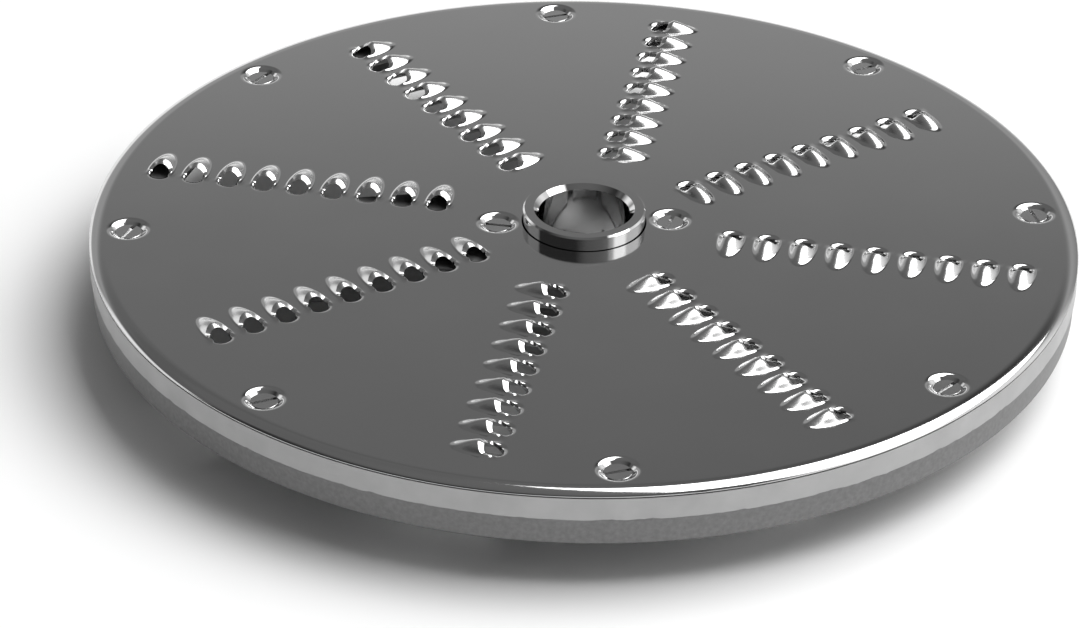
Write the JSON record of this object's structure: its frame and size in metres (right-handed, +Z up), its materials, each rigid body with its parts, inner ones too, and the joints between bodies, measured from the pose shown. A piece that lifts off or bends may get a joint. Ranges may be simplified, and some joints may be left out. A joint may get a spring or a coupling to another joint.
{
  "type": "grating disc",
  "caption": "Round steel grating plate with radial rows of raised, pierced teeth, screwed to a cast ring carrier with a crossbar and a central bored hub.",
  "frame": {"origin": "on the disc's axis, in the plane of the hub's foot, which the disc stands on", "axes": "+Z up along the disc's axis, towards the toothed face; +Y away from the viewer of the picture; +X to the right"},
  "size_m": [0.205, 0.205, 0.025],
  "materials": {
    "polished_steel": "polished, nearly a mirror",
    "cast_aluminium": "cast, with a machined upper band on its rim",
    "turned_steel": "turned and polished",
    "screw_steel": "bright"
  },
  "bodies": {
    "root": {"grating_plate": "polished_steel", "carrier_ring": "cast_aluminium", "hub_sleeve": "turned_steel", "rim_screw_1": "screw_steel", "rim_screw_2": "screw_steel", "rim_screw_3": "screw_steel", "rim_screw_4": "screw_steel", "rim_screw_5": "screw_steel", "rim_screw_6": "screw_steel", "rim_screw_7": "screw_steel", "rim_screw_8": "screw_steel", "hub_screw_1": "screw_steel", "hub_screw_2": "screw_steel"}
  },
  "joints": []
}
